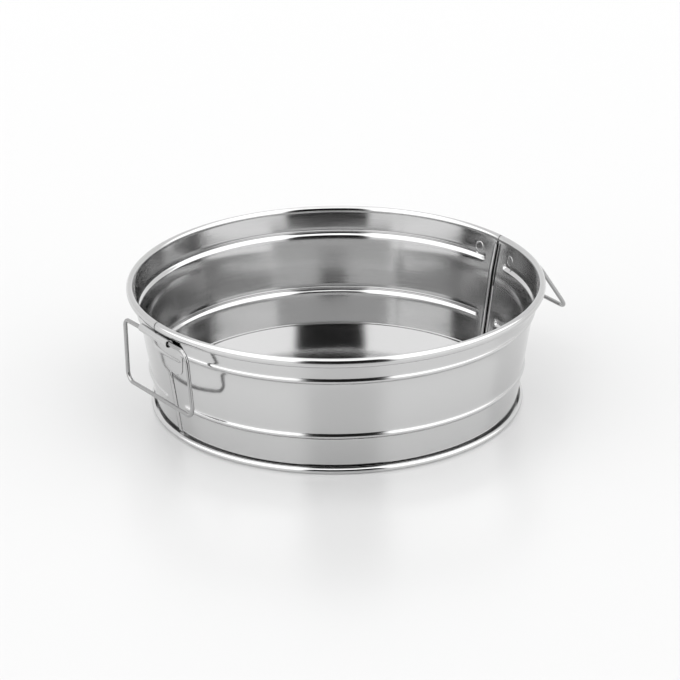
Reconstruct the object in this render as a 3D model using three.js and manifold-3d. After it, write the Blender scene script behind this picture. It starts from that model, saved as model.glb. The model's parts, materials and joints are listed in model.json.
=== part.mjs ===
// Round stainless-steel tub with two wire drop handles.
// Millimetres, +Z up. The origin is on the tub's axis, in the plane it stands on.
// The ears and the wall's two seams lie on the X axis: right is +X, left is -X.

import * as THREE from "three";
import { mergeGeometries, mergeVertices } from "three/addons/utils/BufferGeometryUtils.js";
import Module from "manifold-3d";

const wasm = await Module();
wasm.setup();

// ---------- driving dimensions ----------

const SHEET = 0.5; // wall, floor and ear sheet
const GAP = 0.3; // clearance between pieces that touch on the real tub

const RIM_RADIUS = 150; // outside of the rolled rim
const RIM_WIDTH = 5.2; // rolled rim, across
const RIM_TALL = 6.7; // rolled rim, up and down
const HEIGHT = 92; // floor it stands on to the top of the rim
const RIM_WIRE = 3.2; // diameter of the wire inside the rim
const RIM_LIP = -120; // degrees round the roll where its sheet ends

const FOOT_RADIUS = 135; // outside of the base hem
const HEM_ROLL = 4.6; // height of the base hem
const HEM_FLAT = 1.6; // width of the flat that the tub stands on
const HEM_LIP = 74; // degrees round the hem where its sheet ends, clear of the wall
const HEM_INSET = 1.75; // middle of the hem, out from the wall's outer face
const HEM_ENTRY = 1.95; // the wall bends into the hem this far above the hem's middle
// The wall's foot, round its inner side, end and outer side, from the hem's middle.
const FOOT_OUTLINE = [
  [-1.95, 1.75],
  [-0.95, 0.35],
  [0.55, -0.35],
  [0.75, 0.1],
  [-0.65, 0.8],
];
const FLOOR_UNDERSIDE = 2.0; // the floor is raised off the table by this much

const BEADS = [28.8, 72.6]; // heights of the two beads rolled into the wall
const BEAD_WIDE = 4.6; // up and down
const BEAD_PROUD = 1.1;
const BEAD_STOP = 4.3; // degrees each side of a seam that stay plain

const SEAM_REACH = 2.6; // how far one half's edge passes over the other's
const SEAM_FOOT = 5.6; // heights between which the seam is folded
const SEAM_TOP = 84.6;
const SEAM_PITCH = SHEET + GAP; // from one layer of the folded seam to the next
const SEAM_SKIM = 0.02; // keeps a layer's faces off the faces of the wall it joins

const PIVOT_RADIUS = 149.4; // handle's axis, out from the tub's axis
const PIVOT_HEIGHT = 82.4;
const BARREL_OUTER = 2.9; // radius of the ear's rolled barrel
const BARREL_HALF = 18.5; // half its length
const EAR_FOOT = 54; // lowest edge of the ear's plate
const EAR_HEAD = 80; // top edge of the plate, beside the barrel
const EAR_HALF_FOOT = 15.3;
const EAR_HALF_HEAD = 23.3;
const EAR_LIFT = 1.5; // the plate's upper part stands this far off, over the bead

const WIRE = 3; // handle wire diameter
const BAIL_DROP = 46; // pivot axis to the middle of the grip
const BAIL_TOP_NEAR = 39.6; // the -Y leg leans out from here
const BAIL_TOP_FAR = 44.6; // the +Y leg runs almost straight down from here
const BAIL_HALF_GRIP = 45; // both end here, at the grip
const BAIL_BEND_NEAR = 9; // bend radius between barrel and -Y leg
const BAIL_BEND_FAR = 5;
const BAIL_BEND_GRIP = 7;
const STUB_END = 8; // each wire end stops this far from the barrel's middle
const BAIL_SLIDE = 2; // both handles have slid this far towards -Y
const LEFT_SKEW = 2.2; // degrees: the left handle hangs a little askew in its barrel
const RIGHT_STANDS_OUT = 32.2; // degrees from hanging, where the right handle rests

const HALF_TURN_STEPS = 32; // facets round one half of the tub
const ROLL_STEP = 30; // degrees per facet round the rim roll
const HEM_STEP = 40; // degrees per facet round the hem

// ---------- derived dimensions ----------

const degrees = THREE.MathUtils.degToRad;

const RIM_CENTRE = [RIM_RADIUS - RIM_WIDTH / 2, HEIGHT - RIM_TALL / 2];
const HEM_CENTRE = [FOOT_RADIUS - HEM_ROLL / 2, HEM_ROLL / 2];

// The wall's outer face is a cone from inside the hem to the inner side of the rim roll.
const WALL_FOOT = [HEM_CENTRE[0] - HEM_INSET, HEM_CENTRE[1]];
const WALL_HEAD = [RIM_RADIUS - RIM_WIDTH + SHEET, RIM_CENTRE[1]];
const WALL_SLOPE = (WALL_HEAD[0] - WALL_FOOT[0]) / (WALL_HEAD[1] - WALL_FOOT[1]);
const wallRadius = (z) => WALL_FOOT[0] + (z - WALL_FOOT[1]) * WALL_SLOPE;

// ---------- solids ----------

const point = (x, y) => new THREE.Vector2(x, y);

function solidFrom(geometry) {
  const bare = new THREE.BufferGeometry();
  bare.setAttribute("position", geometry.getAttribute("position"));
  bare.setIndex(geometry.index);
  const merged = mergeVertices(bare, 1e-3);
  const mesh = new wasm.Mesh({
    numProp: 3,
    vertProperties: merged.getAttribute("position").array,
    triVerts: new Uint32Array(merged.index.array),
  });
  return new wasm.Manifold(mesh);
}

function geometryFrom(solid) {
  const mesh = solid.getMesh();
  const geometry = new THREE.BufferGeometry();
  geometry.setAttribute("position", new THREE.BufferAttribute(mesh.vertProperties, 3));
  geometry.setIndex(new THREE.BufferAttribute(mesh.triVerts, 1));
  geometry.computeVertexNormals();
  return geometry;
}

// Moves every vertex of a geometry to where the rule puts it.
function reshape(geometry, rule) {
  const position = geometry.getAttribute("position");
  for (let i = 0; i < position.count; i += 1) {
    const moved = rule(position.getX(i), position.getY(i), position.getZ(i), i);
    position.setXYZ(i, ...moved);
  }
  return geometry;
}

// Points on an ellipse between two angles in degrees, both ends included.
function arc([x, y], radiusX, radiusY, from, to, step) {
  const count = Math.ceil(Math.abs(to - from) / step);
  return Array.from({ length: count + 1 }, (_, i) => {
    const angle = degrees(from + ((to - from) * i) / count);
    return point(x + radiusX * Math.cos(angle), y + radiusY * Math.sin(angle));
  });
}

// Turns a closed (radius, height) outline about Z, through the listed angles, and caps both ends.
// The shift may move an outline point outwards at one angle, which makes a bead that fades.
function turnedSector(outline, angles, shift = () => 0) {
  const skin = new THREE.LatheGeometry([...outline, outline[0]], angles.length - 1, 0, 1);
  const ring = outline.length + 1;
  const place = (p, angle) => {
    const radius = p.x + shift(p.y, angle);
    return [radius * Math.cos(angle), radius * Math.sin(angle), p.y];
  };
  reshape(skin, (x, y, z, i) => place(outline[(i % ring) % outline.length], angles[Math.floor(i / ring)]));
  skin.deleteAttribute("normal");
  skin.deleteAttribute("uv");

  const faces = THREE.ShapeUtils.triangulateShape(outline, []);
  const caps = [angles[0], angles[angles.length - 1]].map((angle, end) => {
    const cap = new THREE.BufferGeometry();
    const corners = outline.flatMap((p) => place(p, angle));
    cap.setAttribute("position", new THREE.Float32BufferAttribute(corners, 3));
    cap.setIndex(faces.flatMap(([a, b, c]) => (end === 0 ? [a, b, c] : [a, c, b])));
    return cap;
  });
  return solidFrom(mergeGeometries([skin, ...caps]));
}

// An outline in (offset from the wall, distance along it) run up the sloping wall at the +X seam.
function upTheWall(outline, from, to) {
  const strip = new THREE.ExtrudeGeometry(new THREE.Shape(outline), {
    depth: to - from,
    bevelEnabled: false,
  });
  return solidFrom(reshape(strip, (x, y, z) => [wallRadius(z + from) + x, y, z + from]));
}

// ---------- half shells: wall, beads, rim roll and one side of each seam ----------

// Heights where the wall's outline needs a point: the feet, flanks and crest of each bead.
function beadHeights() {
  return BEADS.flatMap((z) => [-0.5, -0.25, 0, 0.25, 0.5].map((part) => z + part * BEAD_WIDE));
}

function beadBulge(z) {
  const bead = BEADS.find((middle) => Math.abs(z - middle) < BEAD_WIDE / 2);
  return bead === undefined ? 0 : BEAD_PROUD * Math.cos((Math.PI * (z - bead)) / BEAD_WIDE) ** 2;
}

function shellOutline() {
  const heights = beadHeights();
  const [hemX, hemZ] = HEM_CENTRE;
  const outerFace = [hemZ + HEM_ENTRY, ...heights].map((z) => point(wallRadius(z), z));
  const innerFace = [...heights].reverse().map((z) => point(wallRadius(z) - SHEET, z));
  const underRoll = arc(
    RIM_CENTRE,
    RIM_WIDTH / 2 - SHEET,
    RIM_TALL / 2 - SHEET,
    180,
    RIM_LIP,
    ROLL_STEP,
  );
  const overRoll = arc(RIM_CENTRE, RIM_WIDTH / 2, RIM_TALL / 2, RIM_LIP, 180, ROLL_STEP);
  // The foot turns out into the hem, which holds it. These are offsets from the hem's middle.
  const foot = FOOT_OUTLINE.map(([out, up]) => point(hemX + out, hemZ + up));
  return [...outerFace, ...underRoll, ...overRoll, ...innerFace, ...foot];
}

// Angles of one half, with a plain stretch beside each seam.
function halfTurn() {
  const edge = Math.asin(GAP / 2 / RIM_RADIUS);
  const stop = degrees(BEAD_STOP);
  const between = HALF_TURN_STEPS - 2;
  const inner = Array.from({ length: between + 1 }, (_, i) => stop + ((Math.PI - 2 * stop) * i) / between);
  return [edge, ...inner, Math.PI - edge];
}

// The edge that passes over the joint, then folds back inside the other edge's hook.
function overEdge() {
  const back = -2 * SEAM_PITCH;
  return [
    point(-SEAM_SKIM - 0.16, 4),
    point(-SEAM_SKIM, 0),
    point(-SEAM_SKIM, -SEAM_REACH),
    point(back - SHEET + SEAM_SKIM, -SEAM_REACH),
    point(back - SHEET + SEAM_SKIM, SEAM_REACH - 0.9),
    point(back - SEAM_SKIM, SEAM_REACH - 0.9),
    point(back - SEAM_SKIM, -SEAM_REACH + SHEET),
    point(-SHEET + SEAM_SKIM, -SEAM_REACH + SHEET),
    point(-SHEET + SEAM_SKIM, 0),
    point(-SHEET + SEAM_SKIM - 0.14, 4),
  ].reverse();
}

// The edge that steps inwards, passes under the joint and hooks back over the other edge's fold.
function underEdge() {
  const step = -3 * SEAM_PITCH;
  const hook = -SEAM_PITCH;
  return [
    point(-SEAM_SKIM - 0.22, -5.2),
    point(-SEAM_SKIM - 0.16, -SEAM_REACH - 1.3),
    point(step, -SEAM_REACH - GAP - 0.2),
    point(step, SEAM_REACH - 0.6),
    point(hook - SHEET, SEAM_REACH - 0.6),
    point(hook - SHEET, -SEAM_REACH + SHEET + GAP),
    point(hook, -SEAM_REACH + SHEET + GAP),
    point(hook, SEAM_REACH - 0.1),
    point(step - SHEET, SEAM_REACH - 0.1),
    point(step - SHEET, -SEAM_REACH - GAP - 0.4),
    point(-SHEET - 0.12, -SEAM_REACH - 1.7),
    point(-SHEET - 0.18, -5.2),
  ];
}

function halfShell() {
  const stop = degrees(BEAD_STOP);
  const plain = (angle) => angle <= stop * 1.001 || angle >= Math.PI - stop * 1.001;
  const wall = turnedSector(shellOutline(), halfTurn(), (z, angle) => (plain(angle) ? 0 : beadBulge(z)));
  const notch = [point(-2, -4.2), point(1, -4.2), point(1, 1), point(-2, 1)];
  const cut = upTheWall(notch, SEAM_FOOT - 0.4, SEAM_TOP + 0.4).rotate([0, 0, 180]);
  const over = upTheWall(overEdge(), SEAM_FOOT, SEAM_TOP);
  const under = upTheWall(underEdge(), SEAM_FOOT, SEAM_TOP).rotate([0, 0, 180]);
  return wall.subtract(cut).add(over).add(under);
}

// ---------- base pan: floor and the hem that grips the wall's foot ----------

function basePan() {
  const [x] = HEM_CENTRE;
  const outer = HEM_ROLL / 2;
  const inner = outer - SHEET;
  const under = FLOOR_UNDERSIDE;
  const flat = [point(x - HEM_FLAT / 2, 0), point(x + HEM_FLAT / 2, 0)];
  const outline = [
    point(0, under),
    point(x - outer - 0.6, under),
    ...arc(HEM_CENTRE, outer, outer, 190, 230, HEM_STEP),
    ...flat,
    ...arc(HEM_CENTRE, outer, outer, -50, HEM_LIP, HEM_STEP),
    ...arc(HEM_CENTRE, inner, inner, HEM_LIP, -170, HEM_STEP),
    point(x - outer - 0.1, under + SHEET),
    point(0, under + SHEET),
  ];
  const pan = new THREE.LatheGeometry(outline, 2 * HALF_TURN_STEPS);
  pan.rotateX(Math.PI / 2);
  return pan;
}

function rimWire() {
  const section = arc(RIM_CENTRE, RIM_WIRE / 2, RIM_WIRE / 2, 0, 360, 45);
  const ring = new THREE.LatheGeometry(section, 2 * HALF_TURN_STEPS);
  ring.rotateX(Math.PI / 2);
  return ring;
}

// ---------- ears: a plate against the wall and a barrel for the handle's wire ----------

// Inner face of the plate, out from the wall's cone: flat on the wall, then lifted over the bead.
const PLATE_STEPS = [
  [EAR_FOOT, GAP],
  [65.5, GAP],
  [69.5, EAR_LIFT],
  [EAR_HEAD, EAR_LIFT],
];

function earPlate() {
  const margin = 1;
  const rows = PLATE_STEPS.map(([z, out], i) => {
    const past = i === 0 ? -margin : i === PLATE_STEPS.length - 1 ? margin : 0;
    return [z + past, out];
  });
  const inner = rows.map(([z, out]) => point(wallRadius(z) + out, z));
  const outer = rows.map(([z, out]) => point(wallRadius(z) + out + SHEET, z)).reverse();
  const spread = degrees(12);
  const angles = Array.from({ length: 9 }, (_, i) => -spread + (i * spread) / 4);
  const sheet = turnedSector([...inner, ...outer].reverse(), angles);

  const corner = 5;
  const tab = new THREE.Shape();
  tab.moveTo(-EAR_HALF_FOOT + corner, EAR_FOOT);
  tab.lineTo(EAR_HALF_FOOT - corner, EAR_FOOT);
  tab.quadraticCurveTo(EAR_HALF_FOOT, EAR_FOOT, EAR_HALF_FOOT + corner / 3, EAR_FOOT + corner);
  tab.lineTo(EAR_HALF_HEAD, EAR_HEAD);
  tab.lineTo(-EAR_HALF_HEAD, EAR_HEAD);
  tab.lineTo(-EAR_HALF_FOOT - corner / 3, EAR_FOOT + corner);
  tab.quadraticCurveTo(-EAR_HALF_FOOT, EAR_FOOT, -EAR_HALF_FOOT + corner, EAR_FOOT);
  const cutter = new THREE.ExtrudeGeometry(tab, { depth: 40, bevelEnabled: false, curveSegments: 4 });
  reshape(cutter, (x, y, z) => [z + 120, x, y]);
  return sheet.intersect(solidFrom(cutter));
}

// Runs a (radius, height) shape along the barrel, which is straight and square to the X axis.
function alongBarrel(shape, steps) {
  const bar = new THREE.ExtrudeGeometry(shape, { depth: 2 * BARREL_HALF, steps, bevelEnabled: false });
  return reshape(bar, (x, y, z) => [x, BARREL_HALF - z, y]);
}

function earBarrel() {
  const centre = [PIVOT_RADIUS, PIVOT_HEIGHT];
  const ring = new THREE.Shape(arc(centre, BARREL_OUTER, BARREL_OUTER, 0, 360, 22.5).slice(1));
  const bore = BARREL_OUTER - SHEET;
  ring.holes.push(new THREE.Path(arc(centre, bore, bore, 0, 360, 22.5).slice(1)));
  return solidFrom(alongBarrel(ring, 1));
}

// The sheet between plate and barrel: curved with the wall below, straight above.
function earNeck() {
  const low = EAR_HEAD - 3;
  const face = wallRadius(low) + EAR_LIFT;
  const side = PIVOT_RADIUS - BARREL_OUTER;
  const strip = new THREE.Shape([
    point(face + 0.03, low),
    point(face + SHEET - 0.03, low),
    point(side + SHEET - 0.05, PIVOT_HEIGHT - 0.6),
    point(side + 0.1, PIVOT_HEIGHT - 0.2),
  ]);
  const curl = (y, z) => {
    const share = THREE.MathUtils.clamp((PIVOT_HEIGHT - 0.6 - z) / (PIVOT_HEIGHT - 0.6 - low), 0, 1);
    return (-share * y * y) / (2 * face);
  };
  const neck = alongBarrel(strip, 8);
  return solidFrom(reshape(neck, (x, y, z) => [x + curl(y, z), y, z]));
}

function ear() {
  return earPlate().add(earNeck()).add(earBarrel());
}

// ---------- handles: one length of wire, both ends in the barrel ----------

// Path of the wire's middle, as (across, drop) points. Near is the side of the -Y leg: 1 or -1.
function bailPoints(near) {
  const end = (side) => {
    const [top, bend] = side === near ? [BAIL_TOP_NEAR, BAIL_BEND_NEAR] : [BAIL_TOP_FAR, BAIL_BEND_FAR];
    const stub = point(side * STUB_END, 0);
    const shoulder = point(side * top, 0);
    const grip = point(side * BAIL_HALF_GRIP, BAIL_DROP);
    return [
      stub,
      ...roundedCorner(stub, shoulder, grip, bend),
      ...roundedCorner(shoulder, grip, point(0, BAIL_DROP), BAIL_BEND_GRIP),
    ];
  };
  return [...end(1), ...end(-1).reverse()];
}

// Points of the arc that rounds a corner, tangent to both of its sides.
function roundedCorner(before, corner, after, radius, steps = 4) {
  const inward = before.clone().sub(corner).normalize();
  const onward = after.clone().sub(corner).normalize();
  const half = inward.angleTo(onward) / 2;
  const reach = radius / Math.tan(half);
  const middle = inward.clone().add(onward).normalize().multiplyScalar(radius / Math.sin(half)).add(corner);
  const first = inward.clone().multiplyScalar(reach).add(corner).sub(middle);
  const last = onward.clone().multiplyScalar(reach).add(corner).sub(middle);
  const sweep = Math.atan2(first.cross(last), first.dot(last));
  return Array.from({ length: steps + 1 }, (_, i) =>
    first.clone().rotateAround(point(0, 0), (sweep * i) / steps).add(middle),
  );
}

// A path through given points that an extrusion follows station by station.
class WirePath extends THREE.Curve {
  constructor(stations) {
    super();
    this.stations = stations;
  }

  getUtoTmapping(u) {
    return u;
  }

  getPoint(t, target = new THREE.Vector3()) {
    const last = this.stations.length - 1;
    const place = THREE.MathUtils.clamp(t, 0, 1) * last;
    const i = Math.min(Math.floor(place), last - 1);
    return target.lerpVectors(this.stations[i], this.stations[i + 1], place - i);
  }
}

// The handle at the +X ear: out is its angle from hanging straight down.
function bail(near, out, skew) {
  const stations = bailPoints(near).map((p) => {
    const turned = p.clone().rotateAround(point(0, 0), -degrees(skew));
    const drop = turned.y;
    return new THREE.Vector3(
      PIVOT_RADIUS + drop * Math.sin(degrees(out)),
      turned.x + near * BAIL_SLIDE,
      PIVOT_HEIGHT - drop * Math.cos(degrees(out)),
    );
  });
  const section = new THREE.Shape(arc([0, 0], WIRE / 2, WIRE / 2, 0, 360, 45).slice(1));
  return new THREE.ExtrudeGeometry(section, {
    extrudePath: new WirePath(stations),
    steps: stations.length - 1,
  });
}

// ---------- assembly ----------

const polishedSheet = () =>
  new THREE.MeshStandardMaterial({ color: 0xd2d3d4, metalness: 1, roughness: 0.06 });
const drawnWire = () =>
  new THREE.MeshStandardMaterial({ color: 0xc4c5c7, metalness: 1, roughness: 0.14 });

function piece(name, geometry, material) {
  const mesh = new THREE.Mesh(geometry, material);
  mesh.name = name;
  return mesh;
}

const tub = new THREE.Group();
tub.add(piece("base_pan", basePan(), polishedSheet()));
tub.add(piece("rim_wire", rimWire(), drawnWire()));

const sides = [
  { side: "right", shell: "shell_back", turn: 0, near: -1, out: RIGHT_STANDS_OUT, skew: 0 },
  { side: "left", shell: "shell_front", turn: Math.PI, near: 1, out: 0, skew: LEFT_SKEW },
];
for (const { side, shell, turn, near, out, skew } of sides) {
  const half = new THREE.Group();
  half.rotation.z = turn;
  half.add(piece(shell, geometryFrom(halfShell()), polishedSheet()));
  half.add(piece(`ear_${side}`, geometryFrom(ear()), polishedSheet()));
  half.add(piece(`handle_${side}`, bail(near, out, skew), drawnWire()));
  tub.add(half);
}

export default tub;
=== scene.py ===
"""Looks for a round stainless-steel tub with two wire drop handles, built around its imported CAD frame."""

import json
import logging
import math
from collections.abc import Callable, Sequence
from dataclasses import dataclass, field
from enum import Enum

import bmesh
import bpy
import numpy as np
from mathutils import Matrix, Vector

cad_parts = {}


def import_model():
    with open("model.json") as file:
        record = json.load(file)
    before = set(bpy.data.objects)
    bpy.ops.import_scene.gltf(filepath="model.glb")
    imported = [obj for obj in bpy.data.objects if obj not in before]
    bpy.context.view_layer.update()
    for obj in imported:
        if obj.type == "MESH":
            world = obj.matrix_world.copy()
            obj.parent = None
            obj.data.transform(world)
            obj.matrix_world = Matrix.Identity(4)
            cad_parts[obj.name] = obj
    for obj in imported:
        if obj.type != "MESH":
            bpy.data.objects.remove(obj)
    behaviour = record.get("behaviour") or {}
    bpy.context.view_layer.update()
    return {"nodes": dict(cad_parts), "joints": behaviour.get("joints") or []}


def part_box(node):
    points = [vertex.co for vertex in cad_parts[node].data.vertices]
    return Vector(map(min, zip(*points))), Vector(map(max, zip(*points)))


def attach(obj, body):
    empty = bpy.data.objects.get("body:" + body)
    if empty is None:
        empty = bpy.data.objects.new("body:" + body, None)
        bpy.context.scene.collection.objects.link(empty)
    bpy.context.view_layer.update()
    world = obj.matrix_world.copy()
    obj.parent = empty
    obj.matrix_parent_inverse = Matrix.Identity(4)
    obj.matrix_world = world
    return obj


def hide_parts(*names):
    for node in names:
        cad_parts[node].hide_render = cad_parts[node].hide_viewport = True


LOG = logging.getLogger("tub")

MM = 0.001
# Between these two a noise texture's values mostly lie.
NOISE_LOW = 0.3
NOISE_HIGH = 0.7

Point = tuple[float, float]
Socket = bpy.types.NodeSocket


class Side(Enum):
    """Which end of the X axis an ear, a seam and a handle are at."""

    RIGHT = 1
    LEFT = -1

    @property
    def label(self) -> str:
        """The word used in piece names."""
        return self.name.lower()

    @property
    def turn(self) -> Matrix:
        """The half turn about Z that carries the right side's pieces to this side."""
        return Matrix.Rotation(0.0 if self is Side.RIGHT else math.pi, 4, "Z")


# ---------- small helpers ----------


def linear(hex_colour: str) -> tuple[float, float, float, float]:
    """Turns an sRGB hex colour into a linear RGBA colour.

    Args:
        hex_colour: Six hex digits after a hash sign.

    Returns:
        Linear red, green and blue, and an alpha of 1.
    """
    parts = [int(hex_colour[i : i + 2], 16) / 255 for i in (1, 3, 5)]
    red, green, blue = (c / 12.92 if c <= 0.04045 else ((c + 0.055) / 1.055) ** 2.4 for c in parts)
    return red, green, blue, 1.0


def add_node(
    tree: bpy.types.NodeTree,
    kind: str,
    inputs: dict[str | int, object] | None = None,
    **settings: object,
) -> bpy.types.Node:
    """Adds one node, sets its options, and fills or links its inputs.

    Args:
        tree: The node tree it joins.
        kind: The node's type name.
        inputs: Values or output sockets by input name or number.
        **settings: Attributes of the node, such as operation.

    Returns:
        The new node.
    """
    node = tree.nodes.new(kind)
    for name, value in settings.items():
        setattr(node, name, value)
    for key, value in (inputs or {}).items():
        if isinstance(value, Socket):
            tree.links.new(value, node.inputs[key])
        else:
            node.inputs[key].default_value = value
    return node


def arc(centre: Point, radii: Point, start: float, end: float, count: int) -> list[Point]:
    """Lists points on an ellipse between two angles, both ends included.

    Args:
        centre: The ellipse's middle.
        radii: Its half width and half height.
        start: The first angle in degrees.
        end: The last angle in degrees.
        count: How many points.

    Returns:
        The points in order.
    """
    angles = np.radians(np.linspace(start, end, count))
    return [(centre[0] + radii[0] * math.cos(a), centre[1] + radii[1] * math.sin(a)) for a in angles]


def mesh_object(
    name: str,
    vertices: Sequence[Sequence[float]],
    faces: Sequence[Sequence[int]],
    edges: Sequence[Sequence[int]] = (),
) -> bpy.types.Object:
    """Makes a mesh object at the origin and puts it in the scene.

    Args:
        name: The object's name.
        vertices: Its points.
        faces: The points of each face, by number.
        edges: The two points of each edge that no face has.

    Returns:
        The object.
    """
    mesh = bpy.data.meshes.new(name)
    mesh.from_pydata([tuple(v) for v in vertices], list(edges), [tuple(f) for f in faces])
    mesh.update()
    piece = bpy.data.objects.new(name, mesh)
    bpy.context.scene.collection.objects.link(piece)
    return piece


def closed_strip(rows: np.ndarray, capped: bool = True) -> tuple[np.ndarray, list[tuple[int, ...]]]:
    """Joins rows of points, each a closed outline, into one skin.

    Args:
        rows: Array of shape (stations, outline points, 3).
        capped: Whether the first and last outlines are filled.

    Returns:
        The vertices and the faces.
    """
    stations, ring, _ = rows.shape
    faces = []
    for i in range(stations - 1):
        here, there = i * ring, (i + 1) * ring
        for j in range(ring):
            k = (j + 1) % ring
            faces.append((here + j, here + k, there + k, there + j))
    if capped:
        faces.append(tuple(reversed(range(ring))))
        faces.append(tuple((stations - 1) * ring + j for j in range(ring)))
    return rows.reshape(-1, 3), faces


def tidy_mesh(piece: bpy.types.Object, crease: float = 40.0, merge: float = 2e-6) -> bpy.types.Object:
    """Merges doubled points, turns all faces outwards and shades smooth up to a crease angle.

    Args:
        piece: A mesh object without modifiers.
        crease: Angle in degrees past which an edge stays sharp.
        merge: Distance in metres within which points are one.

    Returns:
        The same object.
    """
    work = bmesh.new()
    work.from_mesh(piece.data)
    bmesh.ops.remove_doubles(work, verts=work.verts, dist=merge)
    bmesh.ops.dissolve_degenerate(work, edges=work.edges, dist=merge / 2)
    bmesh.ops.recalc_face_normals(work, faces=work.faces)
    work.to_mesh(piece.data)
    work.free()
    piece.data.polygons.foreach_set("use_smooth", [True] * len(piece.data.polygons))
    piece.data.set_sharp_from_angle(angle=math.radians(crease))
    return piece


def plain_mesh(piece: bpy.types.Object) -> bpy.types.Object:
    """Replaces a piece's mesh by what its Geometry Nodes make of it, and removes the modifier.

    Args:
        piece: A mesh object with a Geometry Nodes modifier.

    Returns:
        The same object, with a plain mesh.
    """
    bpy.context.view_layer.update()
    evaluated = piece.evaluated_get(bpy.context.evaluated_depsgraph_get())
    made = bpy.data.meshes.new_from_object(evaluated)
    piece.modifiers.clear()
    piece.data = made
    return piece


def run_tree(
    piece: bpy.types.Object, tree: bpy.types.NodeTree, values: dict[str, object]
) -> bpy.types.Object:
    """Puts a Geometry Nodes tree on a piece, sets its named inputs and makes the result plain.

    Args:
        piece: The object that holds the tree's starting mesh.
        tree: The tree.
        values: What each named input is set to.

    Returns:
        The same object, with the finished mesh.
    """
    modifier = piece.modifiers.new(tree.name, "NODES")
    modifier.node_group = tree
    sockets = {s.name: s.identifier for s in tree.interface.items_tree if s.in_out == "INPUT"}
    for name, value in values.items():
        modifier[sockets[name]] = value
    return plain_mesh(piece)


def new_tree(name: str, inputs: dict[str, str]) -> tuple[bpy.types.NodeTree, dict[str, Socket]]:
    """Starts a Geometry Nodes tree with a mesh input and named inputs.

    Args:
        name: The tree's name.
        inputs: Socket type by input name.

    Returns:
        The tree and its input sockets by name.
    """
    tree = bpy.data.node_groups.new(name, "GeometryNodeTree")
    tree.interface.new_socket(name="Mesh", in_out="INPUT", socket_type="NodeSocketGeometry")
    for label, kind in inputs.items():
        tree.interface.new_socket(name=label, in_out="INPUT", socket_type=kind)
    tree.interface.new_socket(name="Mesh", in_out="OUTPUT", socket_type="NodeSocketGeometry")
    entry = tree.nodes.new("NodeGroupInput")
    return tree, {s.name: s for s in entry.outputs if s.name}


def end_tree(tree: bpy.types.NodeTree, shape: Socket, material: Socket) -> None:
    """Ends a tree with Realize Instances and Set Material.

    Args:
        tree: The tree.
        shape: The finished geometry.
        material: The socket that gives its material.
    """
    real = add_node(tree, "GeometryNodeRealizeInstances", {"Geometry": shape})
    dressed = add_node(
        tree,
        "GeometryNodeSetMaterial",
        {"Geometry": real.outputs["Geometry"], "Material": material},
    )
    add_node(tree, "NodeGroupOutput", {"Mesh": dressed.outputs["Geometry"]})


def maths(tree: bpy.types.NodeTree, operation: str, *values: object) -> Socket:
    """Adds a Math node.

    Args:
        tree: The tree it joins.
        operation: What it works out.
        *values: Its numbers, or sockets that give them.

    Returns:
        Its result.
    """
    node = add_node(tree, "ShaderNodeMath", dict(enumerate(values)), operation=operation)
    return node.outputs[0]


def fade(tree: bpy.types.NodeTree, value: Socket, low: object, high: object) -> Socket:
    """Adds a smooth step from 0 to 1.

    Args:
        tree: The tree it joins.
        value: What is measured.
        low: Where the step begins, as a number or a socket.
        high: Where it ends.

    Returns:
        The step's height.
    """
    node = add_node(
        tree,
        "ShaderNodeMapRange",
        {"Value": value, "From Min": low, "From Max": high},
        interpolation_type="SMOOTHSTEP",
    )
    return node.outputs["Result"]


# ---------- finishes ----------


@dataclass(frozen=True)
class Steel:
    """A bright stainless-steel surface: how strongly and how sharply it mirrors.

    The grain is the faint line pattern left by the last polishing or drawing pass. It runs along
    one axis, and shows as a slight change of gloss, never as colour. The ripple is how far the
    surface is from flat, over a wider distance.

    Attributes:
        name: The real finish, as the material's name.
        colour: How much light it gives back, as an sRGB hex colour.
        roughness: Its mean roughness.
        roughness_spread: How far the grain takes the roughness either way.
        grain_mm: The grain's length along X, Y and Z in millimetres.
        ripple_mm: From one ripple to the next, in millimetres.
        ripple: The ripple's height in millimetres.
    """

    name: str
    colour: str
    roughness: float
    roughness_spread: float
    grain_mm: tuple[float, float, float]
    ripple_mm: float
    ripple: float

    def material(self) -> bpy.types.Material:
        """Makes the node material.

        Returns:
            The material.
        """
        material = bpy.data.materials.new(self.name)
        material.use_nodes = True
        tree = material.node_tree
        shader = tree.nodes["Principled BSDF"]
        shader.inputs["Base Color"].default_value = linear(self.colour)
        shader.inputs["Metallic"].default_value = 1.0
        place = add_node(tree, "ShaderNodeTexCoord").outputs["Object"]
        lines = add_node(
            tree,
            "ShaderNodeMapping",
            {"Vector": place, "Scale": tuple(1 / (g * MM) for g in self.grain_mm)},
        )
        grain = add_node(
            tree,
            "ShaderNodeTexNoise",
            {"Vector": lines.outputs["Vector"], "Scale": 1.0, "Detail": 3.0, "Roughness": 0.6},
        )
        gloss = add_node(
            tree,
            "ShaderNodeMapRange",
            {
                "Value": grain.outputs["Fac"],
                "From Min": NOISE_LOW,
                "From Max": NOISE_HIGH,
                "To Min": self.roughness - self.roughness_spread,
                "To Max": self.roughness + self.roughness_spread,
            },
        )
        tree.links.new(gloss.outputs["Result"], shader.inputs["Roughness"])
        ripple = add_node(
            tree,
            "ShaderNodeTexNoise",
            {"Vector": place, "Scale": 1 / (self.ripple_mm * MM), "Detail": 1.0},
        )
        bump = add_node(
            tree,
            "ShaderNodeBump",
            {"Height": ripple.outputs["Fac"], "Strength": 1.0, "Distance": self.ripple * MM},
        )
        tree.links.new(bump.outputs["Normal"], shader.inputs["Normal"])
        return material


# 304 stainless sheet, rolled bright and buffed to a mirror: grey, with reflections that stay readable.
MIRROR_SHEET = Steel(
    name="mirror_polished_stainless_sheet",
    colour="#C5C5C5",
    roughness=0.12,
    roughness_spread=0.02,
    grain_mm=(60, 60, 1.2),
    ripple_mm=30.0,
    ripple=0.01,
)
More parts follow.
